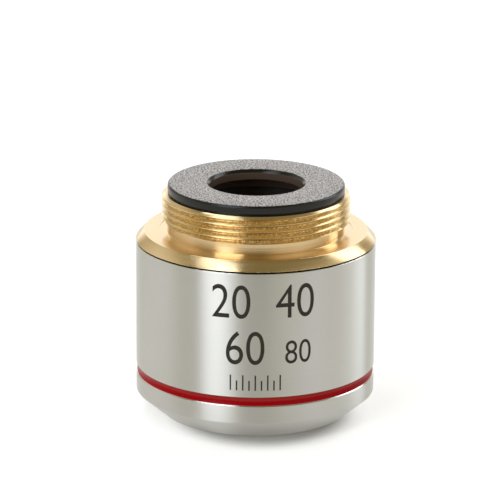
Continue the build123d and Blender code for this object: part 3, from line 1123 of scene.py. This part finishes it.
camera_data = bpy.data.cameras.new("camera")
camera = bpy.data.objects.new("camera", camera_data)
bpy.context.scene.collection.objects.link(camera)
camera_data.sensor_width = 36.0
camera_data.lens = FOCAL_PIXELS / IMAGE_WIDTH * camera_data.sensor_width
camera_data.clip_start = 0.01
camera_data.clip_end = 10
back = -CAMERA_DISTANCE * math.cos(CAMERA_ELEVATION)
up = CAMERA_DISTANCE * math.sin(CAMERA_ELEVATION) + AIM_HEIGHT
tilt = Matrix.Rotation(math.pi / 2 - PITCH, 4, "X")
camera.matrix_world = (
    Matrix.Translation(Vector((0, back, up)) * MM)
    @ Matrix.Rotation(YAW, 4, "Z")
    @ tilt
    @ Matrix.Rotation(ROLL, 4, "Z")
)
bpy.context.scene.camera = camera
print("camera at", [round(c, 4) for c in camera.location], "lens", round(camera_data.lens, 1))

# %% [markdown]
# ## The studio
# The object stands on a pale table. Close to the object the table is only lit, so the shadow stays. Away
# from it the table also glows towards the camera, until it is as white as the backdrop. Metal and glass
# mirror a fainter glow, as paper that is lit all over would give, and near the object that mirrored glow
# falls to half, a painted shade that the nose cone mirrors. From below the table lets everything through,
# so that the underside can be looked at.

# %% Build the table
TABLE_SIZE = 3000.0

bm = bmesh.new()
bmesh.ops.create_grid(bm, x_segments=1, y_segments=1, size=TABLE_SIZE / 2 * MM)
table_mesh = bpy.data.meshes.new("table_top")
bm.to_mesh(table_mesh)
bm.free()
table = bpy.data.objects.new("table_top", table_mesh)
bpy.context.scene.collection.objects.link(table)
print(f"table: {TABLE_SIZE * MM:.0f} m wide")

# %% Light and dark of the table
TABLE_COLOUR = (0.62, 0.62, 0.62)
FAR_GLOW = 0.55
GLOW_CENTRE = (0.9, -3.5, 0.0)
GLOW_STRETCH = (0.9, 1.0, 1.0)
GLOW_REACH = (7.8, 12.0)
MIRRORED_GLOW = 0.30


def make_table_finish():
    material, tree, shader = new_material("table_finish")
    shader.inputs["Base Color"].default_value = (*TABLE_COLOUR, 1)
    shader.inputs["Roughness"].default_value = 1.0
    shader.inputs["Specular IOR Level"].default_value = 0.0
    shader.inputs["Emission Color"].default_value = (1, 1, 1, 1)
    place = add_node(tree, "ShaderNodeMapping", vector_type="TEXTURE")
    tree.links.new(add_node(tree, "ShaderNodeTexCoord").outputs["Object"], place.inputs["Vector"])
    place.inputs["Location"].default_value = Vector(GLOW_CENTRE) * MM
    place.inputs["Scale"].default_value = Vector(GLOW_STRETCH) * MM
    away = add_node(tree, "ShaderNodeVectorMath", operation="LENGTH")
    tree.links.new(place.outputs[0], away.inputs[0])
    glow = rise(tree, away.outputs["Value"], *GLOW_REACH)

    rays = add_node(tree, "ShaderNodeLightPath").outputs
    mirrored = compute(tree, "MAXIMUM", rays["Is Glossy Ray"], rays["Is Transmission Ray"])
    seen = compute(tree, "MULTIPLY", compute(tree, "MULTIPLY", rays["Is Camera Ray"], FAR_GLOW), glow)
    # Near the object the mirrored glow falls to half: painted shade on the table, seen in mirrors.
    half_glow = compute(tree, "MULTIPLY_ADD", glow, MIRRORED_GLOW / 2, MIRRORED_GLOW / 2)
    strength = compute(tree, "MULTIPLY_ADD", mirrored, half_glow, seen)
    tree.links.new(strength, shader.inputs["Emission Strength"])

    one_sided = add_node(tree, "ShaderNodeMixShader")
    from_below = add_node(tree, "ShaderNodeNewGeometry").outputs["Backfacing"]
    clear = add_node(tree, "ShaderNodeBsdfTransparent")
    for source, socket in zip((from_below, shader.outputs[0], clear.outputs[0]), one_sided.inputs):
        tree.links.new(source, socket)
    tree.links.new(one_sided.outputs[0], tree.nodes["Material Output"].inputs["Surface"])
    return material


table_mesh.materials.append(make_table_finish())

# %% [markdown]
# Polished metal shows little of itself and much of the room. The walls are greys that change with the
# direction, darkest behind the camera, and they meet an even ceiling. Dim directions are a little warmer
# than bright ones, so that shaded metal doesn't turn grey. The camera itself sees plain white.

# %% Light the world
# Each wall: degrees from the camera's side, to the right of it, and the grey that stands there.
WALLS = [
    (-180, 1.20),
    (-160, 1.50),
    (-148, 0.45),
    (-125, 0.80),
    (-90, 0.86),
    (-78, 0.48),
    (-20, 0.30),
    (8, 0.22),
    (20, 0.45),
    (32, 0.68),
    (60, 0.98),
    (95, 0.54),
    (124, 0.30),
    (146, 0.45),
    (158, 1.50),
    (180, 1.20),
]
CEILING = 0.2
CEILING_EDGE = (0.5, 0.85)
SHADE_TINT = (1.16, 1.0, 0.48)
LIGHT_TINT = (1.0, 1.0, 1.0)

world = bpy.data.worlds.new("studio")
bpy.context.scene.world = world
world.use_nodes = True
tree = world.node_tree
for node in list(tree.nodes):
    tree.nodes.remove(node)
direction = add_node(tree, "ShaderNodeTexCoord").outputs["Generated"]
axes = add_node(tree, "ShaderNodeSeparateXYZ")
tree.links.new(direction, axes.inputs[0])
x, y, z = axes.outputs
azimuth = compute(tree, "ARCTAN2", x, compute(tree, "MULTIPLY", y, -1.0))
turn_share = compute(tree, "ADD", compute(tree, "DIVIDE", azimuth, 2 * math.pi), 0.5)
walls = add_node(tree, "ShaderNodeValToRGB")
tree.links.new(turn_share, walls.inputs[0])
brightest = max(grey for angle, grey in WALLS)
while len(walls.color_ramp.elements) < len(WALLS):
    walls.color_ramp.elements.new(1.0)
for element, (angle, grey) in zip(walls.color_ramp.elements, WALLS):
    element.position = angle / 360 + 0.5
    element.color = (grey / brightest, grey / brightest, grey / brightest, 1)
wall = compute(tree, "MULTIPLY", walls.outputs[0], brightest)
level = spread(tree, rise(tree, z, *CEILING_EDGE), wall, CEILING)
room = add_node(tree, "ShaderNodeVectorMath", operation="SCALE")
tree.links.new(blend(tree, level, SHADE_TINT, LIGHT_TINT), room.inputs[0])
tree.links.new(level, room.inputs["Scale"])
rays = add_node(tree, "ShaderNodeLightPath").outputs
backdrop = add_node(tree, "ShaderNodeBackground")
seen = blend(tree, rays["Is Camera Ray"], room.outputs[0], (1, 1, 1))
tree.links.new(seen, backdrop.inputs["Color"])
output = add_node(tree, "ShaderNodeOutputWorld")
tree.links.new(backdrop.outputs[0], output.inputs[0])
print("walls:", len(WALLS), "greys, the brightest", brightest)

# %% [markdown]
# Each soft box puts one band of light on the metal. What counts is the direction it stands in and how wide
# it looks from the object, so it is given by angles: how far round from the camera, how high, and half
# its width and height. Its power then follows from its size and from how bright its face should be.

# %% Hang the soft boxes
LAMP_DISTANCE = 500.0
LAMP_COLOUR = (0.93, 0.99, 1.09)
# Each soft box: name, azimuth, elevation, half width, half height, brightness and shape.
SOFT_BOXES = [
    ("left_box", -38, 32, 16, 31, 2.3, "ELLIPSE"),
    ("right_box", 119, 29, 12, 25, 2.3, "ELLIPSE"),
    ("upper_left_box", -60, 61, 13, 9, 1.7, "RECTANGLE"),
    ("top_box", -125, 68, 12, 12, 3.2, "ELLIPSE"),
    ("back_box", 155, 47, 11, 11, 3.5, "ELLIPSE"),
]


def hang_soft_box(name, azimuth, elevation, half_width, half_height, brightness, shape):
    """A lamp that faces the object; angles are in degrees, and brightness 1 is that of white."""
    data = bpy.data.lights.new(name, "AREA")
    data.shape = shape
    data.size = 2 * LAMP_DISTANCE * MM * math.tan(math.radians(half_width))
    data.size_y = 2 * LAMP_DISTANCE * MM * math.tan(math.radians(half_height))
    data.color = LAMP_COLOUR
    fill = math.pi / 4 if shape == "ELLIPSE" else 1.0
    data.energy = brightness * math.pi * fill * data.size * data.size_y
    lamp = bpy.data.objects.new(name, data)
    bpy.context.scene.collection.objects.link(lamp)
    around, up = math.radians(azimuth), math.radians(elevation)
    away = Vector((math.sin(around) * math.cos(up), -math.cos(around) * math.cos(up), math.sin(up)))
    lamp.location = Vector((0, 0, AIM_HEIGHT * MM)) + away * LAMP_DISTANCE * MM
    lamp.rotation_euler = away.to_track_quat("Z", "Y").to_euler()
    print(f"{name}: {data.energy:.2f} W")


for soft_box in SOFT_BOXES:
    hang_soft_box(*soft_box)

# %% [markdown]
# ## The view transform
# The render shows its colours through the plain Standard view transform. The dressed part
# must fill the same box as the solids do.

# %% Set the view transform
bpy.context.scene.view_settings.view_transform = "Standard"
